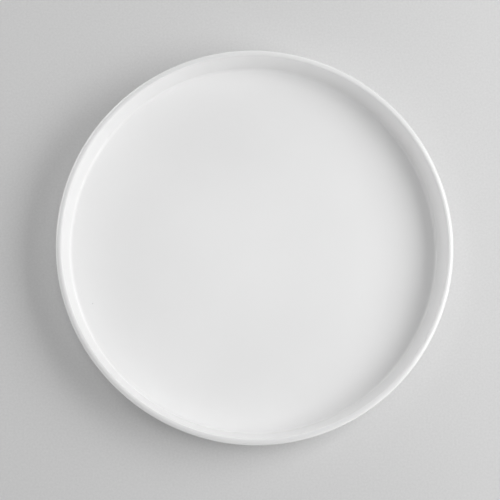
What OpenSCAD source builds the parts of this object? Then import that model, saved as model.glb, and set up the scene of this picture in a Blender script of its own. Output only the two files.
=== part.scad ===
// Walled dinner plate, in millimetres.
// One porcelain body, turned about Z, with a white glaze fired onto it. The glaze is wiped off
// the foot ring before firing, so bare clay stands on the table and parts the glaze into two
// coats: one over the underside's edge, the wall, the lip and the well, and one inside the ring.
// The plate stands on z = 0, with its axis on Z.

/* [Plate] */
// Diameter over the lip
plate_d = 270; // [240:1:320]
// Height from the table to the crown of the lip
plate_h = 28; // [24:0.5:36]

/* [Floor] */
// Thickness of the floor over the recess, with its glaze
floor_t = 4.4; // [4:0.1:7]
// Thickness of the floor just outside the foot ring
shoulder_t = 4.1; // [3.8:0.1:5]
// Thickness of the floor where the underside meets the wall, before the heel is rounded
heel_t = 3; // [2.2:0.1:3.6]
// Radius of the heel, between the underside and the wall
heel_r = 6; // [3:0.5:9]
// Radius of the cove, between the floor and the wall
cove_r = 2.2; // [1.2:0.1:5]

/* [Wall and lip] */
// Thickness of the wall at the lip, measured level, with its glaze
wall_t = 4.4; // [3.8:0.1:6]
// Lean of the wall's outer face, outwards, in degrees
outer_lean = 8; // [0:0.5:10]
// Lean of the wall's inner face, outwards, in degrees
inner_lean = 12; // [8:0.5:18]
// Radius of the lip's inner round
lip_inner_r = 1.5; // [0.8:0.1:1.8]
// Width of the level crown between the lip's two rounds
lip_crown_w = 0.2; // [0.1:0.1:0.6]

/* [Foot ring] */
// Outer diameter of the foot ring, at the table
foot_d = 214; // [180:1:222]
// Width of the foot ring, at the table
foot_w = 4; // [3:0.1:6]
// Height of the recess that the foot ring stands round
foot_h = 2.6; // [2.4:0.1:4]
// Lean of the foot ring's sides, in degrees
foot_lean = 14; // [5:1:25]
// Radius of the foot ring's edges, at the table
foot_edge_r = 0.8; // [0.4:0.1:1]
// Radius of the coves at the foot ring's root
foot_cove_r = 1; // [0.5:0.1:1.1]

/* [Glaze] */
// Thickness of the glaze
glaze_t = 0.3; // [0.15:0.05:0.4]
// Height of the bare clay on the foot ring's sides
bare_h = 1.4; // [1.1:0.1:1.5]

/* [Hidden] */

// Widest turn of an outline between two points of a round, in degrees
arc_step = 7.5;
// Overrun of a cutting shape past what it cuts
overrun = 1;
$fn = 180;

// Heights of the floor, and of the underside on both sides of the foot ring and at the wall
floor_z = foot_h + floor_t;
shoulder_z = floor_z - shoulder_t;
heel_z = floor_z - heel_t;

foot_outer_r = foot_d / 2;
foot_inner_r = foot_outer_r - foot_w;
foot_mid_r = foot_outer_r - foot_w / 2;

// The lip's outer round takes all of the wall's thickness that the crown and the inner round
// leave. Each round runs back from its sharp corner by its radius times the tangent of half
// the corner's turn.
lip_outer_r =
    (wall_t - lip_crown_w - lip_inner_r * tan((90 - inner_lean) / 2)) / tan((90 + outer_lean) / 2);

// The sharp corner outside the lip, placed so that the round itself measures plate_d across
lip_corner_r = plate_d / 2 + lip_outer_r * (tan((90 + outer_lean) / 2) - 1);

// Radius of the wall's outer and inner face at a height
function wall_outer_r(z) = lip_corner_r - (plate_h - z) * tan(outer_lean);
function wall_inner_r(z) = lip_corner_r - wall_t - (plate_h - z) * tan(inner_lean);

// The half section's sharp corners, anticlockwise from the middle of the underside. Each one is
// [place, radius of its round, share of the glaze's thickness on the side that follows it].
CORNERS = [
    [[0, foot_h], 0, 1],
    [[foot_inner_r - foot_h * tan(foot_lean), foot_h], foot_cove_r, 1],
    [[foot_inner_r, 0], foot_edge_r, 0],
    [[foot_outer_r, 0], foot_edge_r, 1],
    [[foot_outer_r + shoulder_z * tan(foot_lean), shoulder_z], foot_cove_r, 1],
    [[wall_outer_r(heel_z), heel_z], heel_r, 1],
    [[wall_outer_r(plate_h), plate_h], lip_outer_r, 1],
    [[wall_inner_r(plate_h), plate_h], lip_inner_r, 1],
    [[wall_inner_r(floor_z), floor_z], cove_r, 1],
    [[0, floor_z], 0, 0],
];
CORNER_COUNT = len(CORNERS);

function place(i) = CORNERS[(i + CORNER_COUNT) % CORNER_COUNT][0];
function coat_share(i) = CORNERS[(i + CORNER_COUNT) % CORNER_COUNT][2];
function unit(v) = v / norm(v);
function side(i) = unit(place(i + 1) - place(i));
function left_of(v) = [-v.y, v.x];
function turned(v, a) = v * cos(a) + left_of(v) * sin(a);

// Turn of the outline at a corner: more than 0 where the section is convex.
function turn_sine(i) = cross(side(i - 1), side(i));
function turn(i) = sign(turn_sine(i)) * acos(side(i - 1) * side(i));

// A corner, and the radius of its round, under a coat of thickness t on its two sides.
function under_coat(i, t) =
    place(i) + (coat_share(i - 1) * side(i) - coat_share(i) * side(i - 1)) * t / turn_sine(i);
function radius_under_coat(i, t) = CORNERS[i][1] - sign(turn_sine(i)) * t;

// The points of a corner's round, or the corner itself where it is left sharp.
function corner_points(i, t) =
    CORNERS[i][1] == 0 ? [under_coat(i, t)] :
    let (
        r = radius_under_coat(i, t),
        steps = ceil(abs(turn(i)) / arc_step),
        start = under_coat(i, t) - side(i - 1) * r * tan(abs(turn(i)) / 2),
        spoke = left_of(side(i - 1)) * sign(turn(i)) * r
    )
    [for (k = [0:steps]) start + spoke - turned(spoke, turn(i) * k / steps)];

// Half section of the plate, with a coat of thickness t taken off its glazed sides.
module half_section(t) {
    polygon([for (i = [0:CORNER_COUNT - 1]) each corner_points(i, t)]);
}

// Half section of the glaze, wiped off below the height of the bare clay.
module glaze_section() {
    difference() {
        half_section(0);
        half_section(glaze_t);
        translate([0, -overrun])
            square([plate_d / 2, bare_h + overrun]);
    }
}

// What lies inside the middle of the foot ring and below the middle of the floor.
module recess_section() {
    square([foot_mid_r, floor_z - floor_t / 2]);
}

module porcelain_body() {
    color("#e9e4da")
        rotate_extrude()
            half_section(glaze_t);
}

module face_glaze() {
    color("#f1f1ef")
        rotate_extrude()
            difference() {
                glaze_section();
                recess_section();
            }
}

module base_glaze() {
    color("#f1f1ef")
        rotate_extrude()
            intersection() {
                glaze_section();
                recess_section();
            }
}

porcelain_body();
face_glaze();
base_glaze();
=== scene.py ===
import math

import bmesh
import bpy
import numpy as np
from mathutils import Matrix, Vector


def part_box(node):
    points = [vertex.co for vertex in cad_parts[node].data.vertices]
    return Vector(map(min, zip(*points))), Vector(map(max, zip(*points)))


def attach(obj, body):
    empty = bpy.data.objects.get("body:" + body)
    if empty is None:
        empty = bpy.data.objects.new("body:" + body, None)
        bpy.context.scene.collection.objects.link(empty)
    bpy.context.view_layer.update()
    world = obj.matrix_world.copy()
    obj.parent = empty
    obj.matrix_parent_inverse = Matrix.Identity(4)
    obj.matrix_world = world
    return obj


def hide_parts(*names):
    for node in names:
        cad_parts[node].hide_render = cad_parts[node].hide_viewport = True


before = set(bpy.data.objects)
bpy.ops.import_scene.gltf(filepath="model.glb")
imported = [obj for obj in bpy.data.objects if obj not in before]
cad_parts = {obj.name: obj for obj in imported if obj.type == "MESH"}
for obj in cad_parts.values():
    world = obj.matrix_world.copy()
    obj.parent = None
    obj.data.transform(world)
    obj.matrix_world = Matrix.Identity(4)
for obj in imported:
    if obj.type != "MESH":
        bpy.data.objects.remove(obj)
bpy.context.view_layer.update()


# The clay body: floor, wall, lip and foot ring in one. Soft porcelain is pressed between a
# turning plaster mould and a heated roller, trimmed, and fired at about 1300 degrees until it
# is white, dense and hard. Only its foot ring is left bare, and ground flat to stand on.
mm = 0.001
face_low, face_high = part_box("face_glaze")
body_low, body_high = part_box("porcelain_body")
base_low, base_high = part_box("base_glaze")

plate_r = face_high.x
plate_h = face_high.z
glaze_t = plate_h - body_high.z
bare_h = base_low.z
foot_h = base_high.z - glaze_t

floor_t = 4.4 * mm
shoulder_t = 4.1 * mm
heel_t = 3.0 * mm
floor_z = foot_h + floor_t
shoulder_z = floor_z - shoulder_t
heel_z = floor_z - heel_t
foot_w = 4 * mm
foot_outer_r = 107 * mm
foot_inner_r = foot_outer_r - foot_w
foot_lean = math.radians(14)
wall_t = 4.4 * mm
outer_lean = math.radians(8)
inner_lean = math.radians(12)

foot_edge_r = 0.8 * mm
foot_cove_r = 1.0 * mm
heel_r = 6.0 * mm
cove_r = 2.2 * mm
lip_inner_r = 1.5 * mm
lip_crown_w = 0.2 * mm
lip_inner_run = lip_inner_r * math.tan((math.pi / 2 - inner_lean) / 2)
lip_outer_run_per_r = math.tan((math.pi / 2 + outer_lean) / 2)
lip_outer_r = (wall_t - lip_crown_w - lip_inner_run) / lip_outer_run_per_r
lip_corner_r = plate_r + lip_outer_r * (lip_outer_run_per_r - 1)


def wall_outer_r(z):
    """Radius of the wall's outer face at a height."""
    return lip_corner_r - (plate_h - z) * math.tan(outer_lean)


def wall_inner_r(z):
    """Radius of the wall's inner face at a height."""
    return lip_corner_r - wall_t - (plate_h - z) * math.tan(inner_lean)


# Sharp corners of the half section, anticlockwise: radius, height, radius of the round, and the
# share of the glaze's thickness on the side that follows.
recess_middle = (0, foot_h, 0, 1)
recess_corner = (foot_inner_r - foot_h * math.tan(foot_lean), foot_h, foot_cove_r, 1)
foot_inner_edge = (foot_inner_r, 0, foot_edge_r, 0)
foot_outer_edge = (foot_outer_r, 0, foot_edge_r, 1)
shoulder_corner = (foot_outer_r + shoulder_z * math.tan(foot_lean), shoulder_z, foot_cove_r, 1)
heel_corner = (wall_outer_r(heel_z), heel_z, heel_r, 1)
lip_outer_corner = (wall_outer_r(plate_h), plate_h, lip_outer_r, 1)
lip_inner_corner = (wall_inner_r(plate_h), plate_h, lip_inner_r, 1)
floor_corner = (wall_inner_r(floor_z), floor_z, cove_r, 1)
floor_middle = (0, floor_z, 0, 1)


def turned(v, angle):
    """A flat vector turned anticlockwise."""
    return np.array([v[0] * math.cos(angle) - v[1] * math.sin(angle),
                     v[0] * math.sin(angle) + v[1] * math.cos(angle)])


def outline(corners, coat, step=math.radians(6)):
    """A line of radius and height through the corners, rounded, under a coat of that thickness."""
    place = [np.array(c[:2], float) for c in corners]
    side = [(b - a) / np.linalg.norm(b - a) for a, b in zip(place, place[1:])]
    share = [c[3] for c in corners]
    line = [place[0] + turned(side[0], math.pi / 2) * coat * share[0]]
    for i in range(1, len(corners) - 1):
        before, after = side[i - 1], side[i]
        sine = before[0] * after[1] - before[1] * after[0]
        turn = math.copysign(math.acos(before @ after), sine)
        corner = place[i] + (share[i - 1] * after - share[i] * before) * coat / sine
        radius = corners[i][2] - math.copysign(coat, sine)
        start = corner - before * radius * math.tan(abs(turn) / 2)
        spoke = turned(before, math.pi / 2) * math.copysign(radius, sine)
        steps = math.ceil(abs(turn) / step)
        line += [start + spoke - turned(spoke, turn * k / steps) for k in range(steps + 1)]
    line.append(place[-1] + turned(side[-1], math.pi / 2) * coat * share[-2])
    return line


def spaced(line, longest=3 * mm):
    """The same line with points added along its straight sides."""
    points = [line[0]]
    for a, b in zip(line, line[1:]):
        count = max(1, math.ceil(np.linalg.norm(b - a) / longest))
        points += [a + (b - a) * k / count for k in range(1, count + 1)]
    return np.array(points)


# What firing does to the true shape: how far the lip draws in and droops, each as half of its
# greatest move, and how far the floor sinks in its middle.
lip_oval = 0.05 * mm
lip_wave = 0.04 * mm
lip_short_wave = 0.03 * mm
lip_droop = 0.05 * mm
floor_sag = 0.8 * mm
sunk_floor_r = 124 * mm


def fired(radius, height, angle):
    """Where a point of the true shape lies after firing: the lip goes slightly oval, wavy and low,
    and the floor sinks to a faint bowl inside the cove."""
    rise = np.clip((height - shoulder_z) / (plate_h - shoulder_z), 0, 1)
    oval = lip_oval * (np.cos(2 * angle + 1.9) - 1)
    wave = lip_wave * (np.sin(4 * angle + 0.8) - 1)
    short_wave = lip_short_wave * (np.sin(7 * angle + 2.1) - 1)
    droop = lip_droop * (np.sin(3 * angle + 0.4) - 1) * rise
    bowl = 1 - np.clip(radius / sunk_floor_r, 0, 1) ** 2
    sag = -floor_sag * bowl * np.clip(height / floor_z, 0, 1)
    drawn_in = radius + (oval + wave + short_wave) * rise * radius / plate_r
    return drawn_in * np.cos(angle), drawn_in * np.sin(angle), height + droop + sag


def revolved(name, line, segments=360, on_axis_r=1e-6 * mm):
    """A closed mesh turned from a line that starts and ends on the axis, where a ring of points
    becomes a single one."""
    angles = np.arange(segments) * 2 * math.pi / segments
    mesh = bmesh.new()
    rings = []
    for radius, height in line:
        around = angles if radius > on_axis_r else angles[:1]
        places = zip(*fired(np.full(len(around), radius), np.full(len(around), height), around))
        rings.append([mesh.verts.new(p) for p in places])
    for low, high in zip(rings, rings[1:]):
        for k in range(segments):
            after = (k + 1) % segments
            corners = [low[k % len(low)], low[after % len(low)],
                       high[after % len(high)], high[k % len(high)]]
            mesh.faces.new(list(dict.fromkeys(corners)))
    bmesh.ops.recalc_face_normals(mesh, faces=mesh.faces)
    data = bpy.data.meshes.new(name)
    mesh.to_mesh(data)
    mesh.free()
    data.shade_smooth()
    piece = bpy.data.objects.new(name, data)
    bpy.context.scene.collection.objects.link(piece)
    return piece


def linear(colour):
    """The linear colour of an sRGB one written as six hex digits."""
    parts = [int(colour[k:k + 2], 16) / 255 for k in (0, 2, 4)]
    return [p / 12.92 if p <= 0.04045 else ((p + 0.055) / 1.055) ** 2.4 for p in parts] + [1]


def add_node(material, kind, settings, links):
    """A shader node with its settings and links. A setting is a property or a socket, and a socket
    goes by its name or its number."""
    node = material.node_tree.nodes.new(kind)
    for name, value in settings.items():
        if isinstance(name, str) and hasattr(node, name):
            setattr(node, name, value)
        else:
            node.inputs[name].default_value = value
    for socket, output in links.items():
        material.node_tree.links.new(output, node.inputs[socket])
    return node


# Bare fired porcelain, as cut by the grinding wheel on the foot: a dense white clay without
# gloss, a little warmer than the glaze, with a grain of fine grit that reads as a dry surface.
bisque = bpy.data.materials.new("bare_porcelain")
bisque.use_nodes = True
bisque.node_tree.nodes.clear()
bisque_place = add_node(bisque, "ShaderNodeTexCoord", {}, {})
# The real grit is 0.05 mm across, too fine to show, so it is drawn at 0.4 mm.
grit_size = 0.4 * mm
grit_height = 0.03 * mm
grit = add_node(bisque, "ShaderNodeTexNoise", {"Scale": 1 / grit_size, "Detail": 3}, {
    "Vector": bisque_place.outputs["Object"]})
cloud_size = 14 * mm
cloud = add_node(bisque, "ShaderNodeTexNoise", {"Scale": 1 / cloud_size, "Detail": 4}, {
    "Vector": bisque_place.outputs["Object"]})
clay_tone = add_node(bisque, "ShaderNodeValToRGB", {}, {"Fac": cloud.outputs["Fac"]})
clay_tone.color_ramp.elements[0].position = 0.3
clay_tone.color_ramp.elements[0].color = linear("dcd6cb")
clay_tone.color_ramp.elements[1].position = 0.7
clay_tone.color_ramp.elements[1].color = linear("e8e3da")
clay_rough = add_node(bisque, "ShaderNodeMapRange", {"To Min": 0.55, "To Max": 0.8}, {
    "Value": grit.outputs["Fac"]})
clay_grain = add_node(bisque, "ShaderNodeBump", {"Strength": 0.5, "Distance": grit_height}, {
    "Height": grit.outputs["Fac"]})
clay = add_node(bisque, "ShaderNodeBsdfPrincipled", {"IOR": 1.5}, {
    "Base Color": clay_tone.outputs["Color"], "Roughness": clay_rough.outputs["Result"],
    "Normal": clay_grain.outputs["Normal"]})
add_node(bisque, "ShaderNodeOutputMaterial", {}, {"Surface": clay.outputs["BSDF"]})

body_line = outline([recess_middle, recess_corner, foot_inner_edge, foot_outer_edge, shoulder_corner,
                     heel_corner, lip_outer_corner, lip_inner_corner, floor_corner, floor_middle], glaze_t)
fired_body = revolved("fired_body", spaced(body_line))
fired_body.data.materials.append(bisque)
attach(fired_body, "root")
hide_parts("porcelain_body")


# The face glaze: a white feldspar glaze, sprayed on and melted at the second firing, about 0.3 mm
# thick. It runs in one coat from the foot ring's outer side over the underside's edge, the heel,
# the wall and the lip down into the well, and ends in a rounded edge above the bare clay.

# Glossy white glaze: a clear glass full of white grains, level from melting. It gives a neutral
# white with a clear, slightly soft reflection, and ripples that are too low to see elsewhere.
glaze = bpy.data.materials.new("white_glaze")
glaze.use_nodes = True
glaze.node_tree.nodes.clear()
glaze_place = add_node(glaze, "ShaderNodeTexCoord", {}, {})
ripple_length = 9 * mm
ripple_height = 0.006 * mm
ripple = add_node(glaze, "ShaderNodeTexNoise", {"Scale": 1 / ripple_length, "Detail": 1}, {
    "Vector": glaze_place.outputs["Object"]})

# One pinhole in the well, where a bubble broke in the melt and was not filled again. Its edge is
# rounded, so it is 1.5 mm across at the surface and reads as 1 mm.
pinhole_place = (-110.6 * mm, -38.9 * mm, floor_z)
pinhole_r = 0.75 * mm
pinhole_depth = 0.08 * mm
to_pinhole = add_node(glaze, "ShaderNodeVectorMath", {"operation": "DISTANCE", 1: pinhole_place}, {
    0: glaze_place.outputs["Object"]})
pinhole = add_node(glaze, "ShaderNodeMapRange", {
    "interpolation_type": "SMOOTHSTEP", "From Max": pinhole_r, "To Min": 1, "To Max": 0}, {
    "Value": to_pinhole.outputs["Value"]})
melt_height = add_node(glaze, "ShaderNodeMath", {
    "operation": "MULTIPLY_ADD", 1: -pinhole_depth / ripple_height}, {
    0: pinhole.outputs["Result"], 2: ripple.outputs["Fac"]})
melt = add_node(glaze, "ShaderNodeBump", {"Strength": 1, "Distance": ripple_height}, {
    "Height": melt_height.outputs["Value"]})

# The coat is a little thinner in some places, which shows as a drift in tone and gloss.
drift_length = 60 * mm
drift = add_node(glaze, "ShaderNodeTexNoise", {"Scale": 1 / drift_length, "Detail": 2}, {
    "Vector": glaze_place.outputs["Object"]})
# Towards the pinhole's middle the tone is darker as well.
whiteness = add_node(glaze, "ShaderNodeMath", {"operation": "SUBTRACT"}, {
    0: drift.outputs["Fac"], 1: pinhole.outputs["Result"]})
glaze_tone = add_node(glaze, "ShaderNodeValToRGB", {}, {"Fac": whiteness.outputs["Value"]})
glaze_tone.color_ramp.elements[0].position = 0.0
glaze_tone.color_ramp.elements[0].color = linear("dbdbdb")
glaze_tone.color_ramp.elements[1].position = 0.7
glaze_tone.color_ramp.elements[1].color = linear("f1f1f1")
glaze_tone.color_ramp.elements.new(0.3).color = linear("efefef")
gloss = add_node(glaze, "ShaderNodeMapRange", {"To Min": 0.14, "To Max": 0.18}, {
    "Value": drift.outputs["Fac"]})

# Towards the lip's crown the glaze's tone is painted darker: painted shade that dims the highlight the
# lamps put on the lip.
lip_shade_low = plate_h - 2.4 * mm
lip_shade_high = plate_h - 0.4 * mm
lip_shade_tone = 0.93
glaze_height = add_node(glaze, "ShaderNodeSeparateXYZ", {}, {0: glaze_place.outputs["Object"]})
painted_lip_shade = add_node(glaze, "ShaderNodeMapRange", {
    "interpolation_type": "SMOOTHSTEP", "From Min": lip_shade_low, "From Max": lip_shade_high,
    "To Min": 1, "To Max": lip_shade_tone}, {"Value": glaze_height.outputs["Z"]})
# The glaze's tone, darkened near the lip by that painted shade.
coat_tone_with_lip_shade = add_node(glaze, "ShaderNodeVectorMath", {"operation": "SCALE"}, {
    0: glaze_tone.outputs["Color"], "Scale": painted_lip_shade.outputs["Result"]})
glass = add_node(glaze, "ShaderNodeBsdfPrincipled", {"IOR": 1.5}, {
    "Base Color": coat_tone_with_lip_shade.outputs["Vector"], "Roughness": gloss.outputs["Result"],
    "Normal": melt.outputs["Normal"]})
add_node(glaze, "ShaderNodeOutputMaterial", {}, {"Surface": glass.outputs["BSDF"]})


def glaze_edge(inner, outer, along, steps=6):
    """Points round the edge of a coat, from its inner face to its outer one, which bulges along."""
    middle = (inner + outer) / 2
    half = (outer - inner) / 2
    bulge = along / np.linalg.norm(along) * np.linalg.norm(half)
    angles = [math.pi * k / steps for k in range(1, steps)]
    return [middle - half * math.cos(a) + bulge * math.sin(a) for a in angles]


edge_z = bare_h + glaze_t / 2
foot_outer_side = (foot_outer_r + edge_z * math.tan(foot_lean), edge_z, 0, 1)
face_corners = [foot_outer_side, shoulder_corner, heel_corner, lip_outer_corner, lip_inner_corner,
                floor_corner, floor_middle]
face_outer = outline(face_corners, 0)
face_inner = outline(face_corners, glaze_t)
face_edge = glaze_edge(face_inner[0], face_outer[0], face_outer[0] - face_outer[1])
face_coat = revolved("face_glaze_coat", spaced(face_inner[::-1] + face_edge + face_outer))
face_coat.data.materials.append(glaze)
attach(face_coat, "root")
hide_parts("face_glaze")


# The base glaze: the same glaze inside the foot ring, on the recess and up the ring's inner side.
# The foot is wiped clean with a wet sponge before firing, which parts this coat from the other.
foot_inner_side = (foot_inner_r - edge_z * math.tan(foot_lean), edge_z, 0, 1)
base_corners = [recess_middle, recess_corner, foot_inner_side]
base_outer = outline(base_corners, 0)
base_inner = outline(base_corners, glaze_t)
base_edge = glaze_edge(base_inner[-1], base_outer[-1], base_outer[-1] - base_outer[-2])
base_coat = revolved("base_glaze_coat", spaced(base_outer + base_edge[::-1] + base_inner[::-1]))
base_coat.data.materials.append(glaze)
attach(base_coat, "root")
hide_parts("base_glaze")


# The table: a plain pale board, matt, on which the plate stands. It isn't part of the
# plate, and its edges lie far outside the picture.

# Card, uncoated: matt, with a fibre that shows as a faint grain 1.5 mm across.
board = bpy.data.materials.new("pale_board")
board.use_nodes = True
board.node_tree.nodes.clear()
board_place = add_node(board, "ShaderNodeTexCoord", {}, {})
fibre_length = 1.5 * mm
fibre = add_node(board, "ShaderNodeTexNoise", {"Scale": 1 / fibre_length, "Detail": 3}, {
    "Vector": board_place.outputs["Object"]})
board_tone = add_node(board, "ShaderNodeValToRGB", {}, {"Fac": fibre.outputs["Fac"]})
board_tone.color_ramp.elements[0].position = 0.3
board_tone.color_ramp.elements[0].color = linear("d2d2d2")
board_tone.color_ramp.elements[1].position = 0.7
board_tone.color_ramp.elements[1].color = linear("d8d8d8")
card = add_node(board, "ShaderNodeBsdfPrincipled", {"Roughness": 0.8, "IOR": 1.45}, {
    "Base Color": board_tone.outputs["Color"]})


def seen_ray(material):
    """A value of 1 for a ray that shows something to the camera, directly, in a gloss or through
    glass, and 0 for one that only carries light. It serves a world as well as a material."""
    ray = add_node(material, "ShaderNodeLightPath", {}, {})
    shiny = add_node(material, "ShaderNodeMath", {"operation": "MAXIMUM"}, {
        0: ray.outputs["Is Glossy Ray"], 1: ray.outputs["Is Transmission Ray"]})
    seen = add_node(material, "ShaderNodeMath", {"operation": "MAXIMUM"}, {
        0: ray.outputs["Is Camera Ray"], 1: shiny.outputs["Value"]})
    return seen.outputs["Value"]


# Far from the plate, near the lamps, the board is much brighter in some places than in others.
# There the eye, and the gloss, see an even pale backdrop instead: what light it gives is unchanged.
backdrop_tone = "cdcdcd"
fade_start_r = 350 * mm
fade_end_r = 750 * mm
from_middle = add_node(board, "ShaderNodeVectorMath", {"operation": "LENGTH"}, {
    0: board_place.outputs["Object"]})
fade = add_node(board, "ShaderNodeMapRange", {
    "interpolation_type": "SMOOTHSTEP", "From Min": fade_start_r, "From Max": fade_end_r}, {
    "Value": from_middle.outputs["Value"]})
board_fade = add_node(board, "ShaderNodeMath", {"operation": "MULTIPLY"}, {
    0: fade.outputs["Result"], 1: seen_ray(board)})
backdrop = add_node(board, "ShaderNodeEmission", {"Color": linear(backdrop_tone)}, {})
board_face = add_node(board, "ShaderNodeMixShader", {}, {
    0: board_fade.outputs["Value"], 1: card.outputs["BSDF"], 2: backdrop.outputs["Emission"]})
add_node(board, "ShaderNodeOutputMaterial", {}, {"Surface": board_face.outputs["Shader"]})

table_half = 2000 * mm
table_corners = [(-table_half, -table_half, 0), (table_half, -table_half, 0),
                 (table_half, table_half, 0), (-table_half, table_half, 0)]
table_data = bpy.data.meshes.new("table")
table_data.from_pydata(table_corners, [], [(0, 1, 2, 3)])
table = bpy.data.objects.new("table", table_data)
table.data.materials.append(board)
bpy.context.scene.collection.objects.link(table)


# The light: a wide soft box at the right, a small panel overhead, white boards low round the
# other sides, and a pale wall at the left. They all stand at one distance from the plate.
lamp_distance = 1000 * mm


def soft_box(name, azimuth, elevation, facing, size, radiance):
    """A rectangular light, placed as seen from the plate, with its front turned down by facing.
    The angles are in degrees and the size in metres, width before height."""
    light = bpy.data.lights.new(name, "AREA")
    light.shape = "RECTANGLE"
    light.size, light.size_y = size
    light.energy = math.pi * size[0] * size[1] * radiance
    lamp = bpy.data.objects.new(name, light)
    a, e, f = (math.radians(angle) for angle in (azimuth, elevation, facing))
    across = Vector((-math.sin(a), math.cos(a), 0))
    behind = Vector((math.cos(a) * math.cos(f), math.sin(a) * math.cos(f), math.sin(f)))
    lamp.matrix_world = Matrix((across, behind.cross(across), behind)).transposed().to_4x4()
    away = Vector((math.cos(a) * math.cos(e), math.sin(a) * math.cos(e), math.sin(e)))
    lamp.location = away * lamp_distance
    bpy.context.scene.collection.objects.link(lamp)


soft_box("key_box", azimuth=3.5, elevation=40, facing=26, size=(0.98, 0.68), radiance=4.29)
soft_box("overhead_panel", azimuth=150, elevation=80, facing=80, size=(0.4, 0.4), radiance=1.28)
soft_box("left_board", azimuth=145, elevation=9, facing=0, size=(1.0, 0.33), radiance=3.56)
soft_box("near_board", azimuth=-120, elevation=7, facing=0, size=(1.0, 0.25), radiance=2.27)
soft_box("far_board", azimuth=85, elevation=8, facing=0, size=(0.6, 0.30), radiance=1.23)
soft_box("near_right_board", azimuth=-60, elevation=6, facing=0, size=(0.6, 0.20), radiance=2.27)
soft_box("left_wall", azimuth=165, elevation=45, facing=45, size=(0.9, 0.4), radiance=0.59)

# The room beyond the lamps: it gives an even dim light, and the eye sees the backdrop there.
room = bpy.data.worlds.new("room")
room.use_nodes = True
room.node_tree.nodes.clear()
room_light = add_node(room, "ShaderNodeBackground", {"Color": linear("ffffff"), "Strength": 0.25}, {})
room_seen = add_node(room, "ShaderNodeBackground", {"Color": linear(backdrop_tone)}, {})
room_face = add_node(room, "ShaderNodeMixShader", {}, {
    0: seen_ray(room), 1: room_light.outputs["Background"], 2: room_seen.outputs["Background"]})
add_node(room, "ShaderNodeOutputWorld", {}, {"Surface": room_face.outputs["Shader"]})
bpy.context.scene.world = room
bpy.context.scene.view_settings.view_transform = "Standard"


# The camera: almost straight above, and a little towards the near left of the plate. The lip
# shows as a circle 199 pixels in radius, round a point just right of and above the middle.
picture_px = 500
lip_px = 199.2
lip_centre_px = Vector((254.56, 247.97))
camera_distance = 1050 * mm
camera_tilt = math.radians(8.0)
camera_azimuth = math.radians(-112)
lip_z = plate_h - lip_outer_r

near = Vector((math.cos(camera_azimuth), math.sin(camera_azimuth)))
back = Vector((*(near * math.sin(camera_tilt)), math.cos(camera_tilt)))
right = Vector((0, 1, 0)).cross(back).normalized()
up = back.cross(right)
px = plate_r / lip_px
# The lip's near half shows larger, so the middle of its outline lies nearer than its true one.
near_shift = plate_r ** 2 * math.sin(camera_tilt) * math.cos(camera_tilt) / camera_distance
middle_px = Vector((picture_px / 2, picture_px / 2))
off_centre = (lip_centre_px - middle_px) * px
aim = Vector((0, 0, lip_z))
aim -= right * (off_centre.x - near.x * near_shift)
aim += up * (off_centre.y + near.y * near_shift)

lens = bpy.data.cameras.new("camera")
lens.sensor_width = 36
lens.lens = lens.sensor_width * camera_distance / (picture_px * px)
lens.clip_start = 10 * mm
camera = bpy.data.objects.new("camera", lens)
camera.matrix_world = Matrix((right, up, back)).transposed().to_4x4()
camera.location = aim + back * camera_distance
bpy.context.scene.collection.objects.link(camera)
bpy.context.scene.camera = camera
